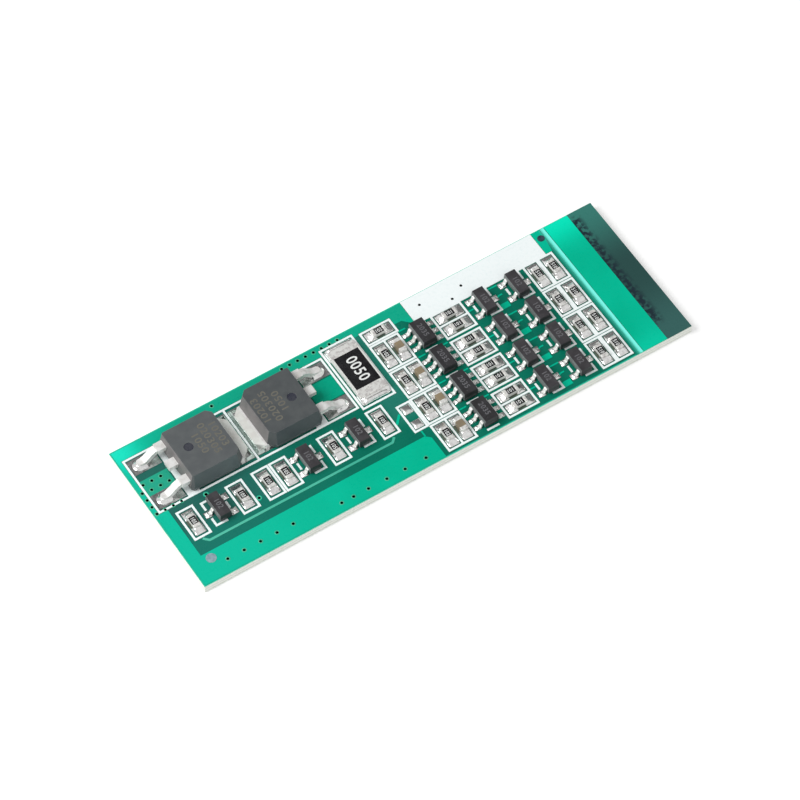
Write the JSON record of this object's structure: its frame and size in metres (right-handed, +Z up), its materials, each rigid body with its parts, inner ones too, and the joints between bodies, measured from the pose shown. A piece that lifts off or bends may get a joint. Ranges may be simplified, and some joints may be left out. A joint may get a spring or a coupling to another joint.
{
  "type": "battery management board",
  "caption": "Long narrow circuit board with power transistors, a current shunt and rows of small chips that guard and balance a series lithium pack.",
  "frame": {"origin": "middle of the flat underside, on the plane that the board rests on", "axes": "+X along the board from the power transistors' end to the bare strip at the other end, +Y across it towards the side of the power transistors, +Z up out of the side that carries the parts"},
  "size_m": [0.0562, 0.018, 0.0034],
  "materials": {
    "laminate": "dark green solder mask over bare glass-epoxy laminate",
    "masked_copper": "bright green solder mask over copper",
    "print": "white printed legend",
    "tin": "hot-levelled tin",
    "solder": "reflowed solder",
    "power_case": "moulded grey epoxy",
    "lead_metal": "tinned copper lead frame",
    "small_case": "moulded dark epoxy with tinned leads",
    "chip_ceramic": "white ceramic, black glaze on top, tinned end caps",
    "capacitor_ceramic": "brown ceramic, tinned end caps",
    "shunt_ceramic": "white ceramic, black coat on top, tinned end caps"
  },
  "bodies": {
    "root": {"board": "laminate", "copper_pours": "masked_copper", "legend": "print", "top_lands": "tin", "bottom_lands": "tin", "solder_joints": "solder", "power_fet_1_case": "power_case", "power_fet_2_case": "power_case", "power_fet_1_lead_frame": "lead_metal", "power_fet_2_lead_frame": "lead_metal", "balance_transistor_1": "small_case", "balance_transistor_2": "small_case", "balance_transistor_3": "small_case", "balance_transistor_4": "small_case", "balance_transistor_5": "small_case", "balance_transistor_6": "small_case", "balance_transistor_7": "small_case", "balance_transistor_8": "small_case", "driver_transistor_1": "small_case", "driver_transistor_2": "small_case", "driver_transistor_3": "small_case", "cell_monitor_1": "small_case", "cell_monitor_2": "small_case", "cell_monitor_3": "small_case", "cell_monitor_4": "small_case", "sense_resistor": "chip_ceramic", "filter_resistor_1": "chip_ceramic", "filter_resistor_2": "chip_ceramic", "filter_resistor_3": "chip_ceramic", "filter_resistor_4": "chip_ceramic", "gate_resistor_1": "chip_ceramic", "gate_resistor_2": "chip_ceramic", "gate_resistor_3": "chip_ceramic", "gate_resistor_4": "chip_ceramic", "gate_resistor_5": "chip_ceramic", "gate_resistor_6": "chip_ceramic", "gate_resistor_7": "chip_ceramic", "gate_resistor_8": "chip_ceramic", "bleed_resistor_1": "chip_ceramic", "bleed_resistor_2": "chip_ceramic", "bleed_resistor_3": "chip_ceramic", "bleed_resistor_4": "chip_ceramic", "bleed_resistor_5": "chip_ceramic", "bleed_resistor_6": "chip_ceramic", "bleed_resistor_7": "chip_ceramic", "bleed_resistor_8": "chip_ceramic", "driver_resistor_1": "chip_ceramic", "driver_resistor_2": "chip_ceramic", "driver_resistor_3": "chip_ceramic", "driver_resistor_4": "chip_ceramic", "driver_resistor_5": "chip_ceramic", "driver_resistor_6": "chip_ceramic", "filter_capacitor_1": "capacitor_ceramic", "filter_capacitor_2": "capacitor_ceramic", "filter_capacitor_3": "capacitor_ceramic", "filter_capacitor_4": "capacitor_ceramic", "shunt_resistor": "shunt_ceramic"}
  },
  "joints": []
}
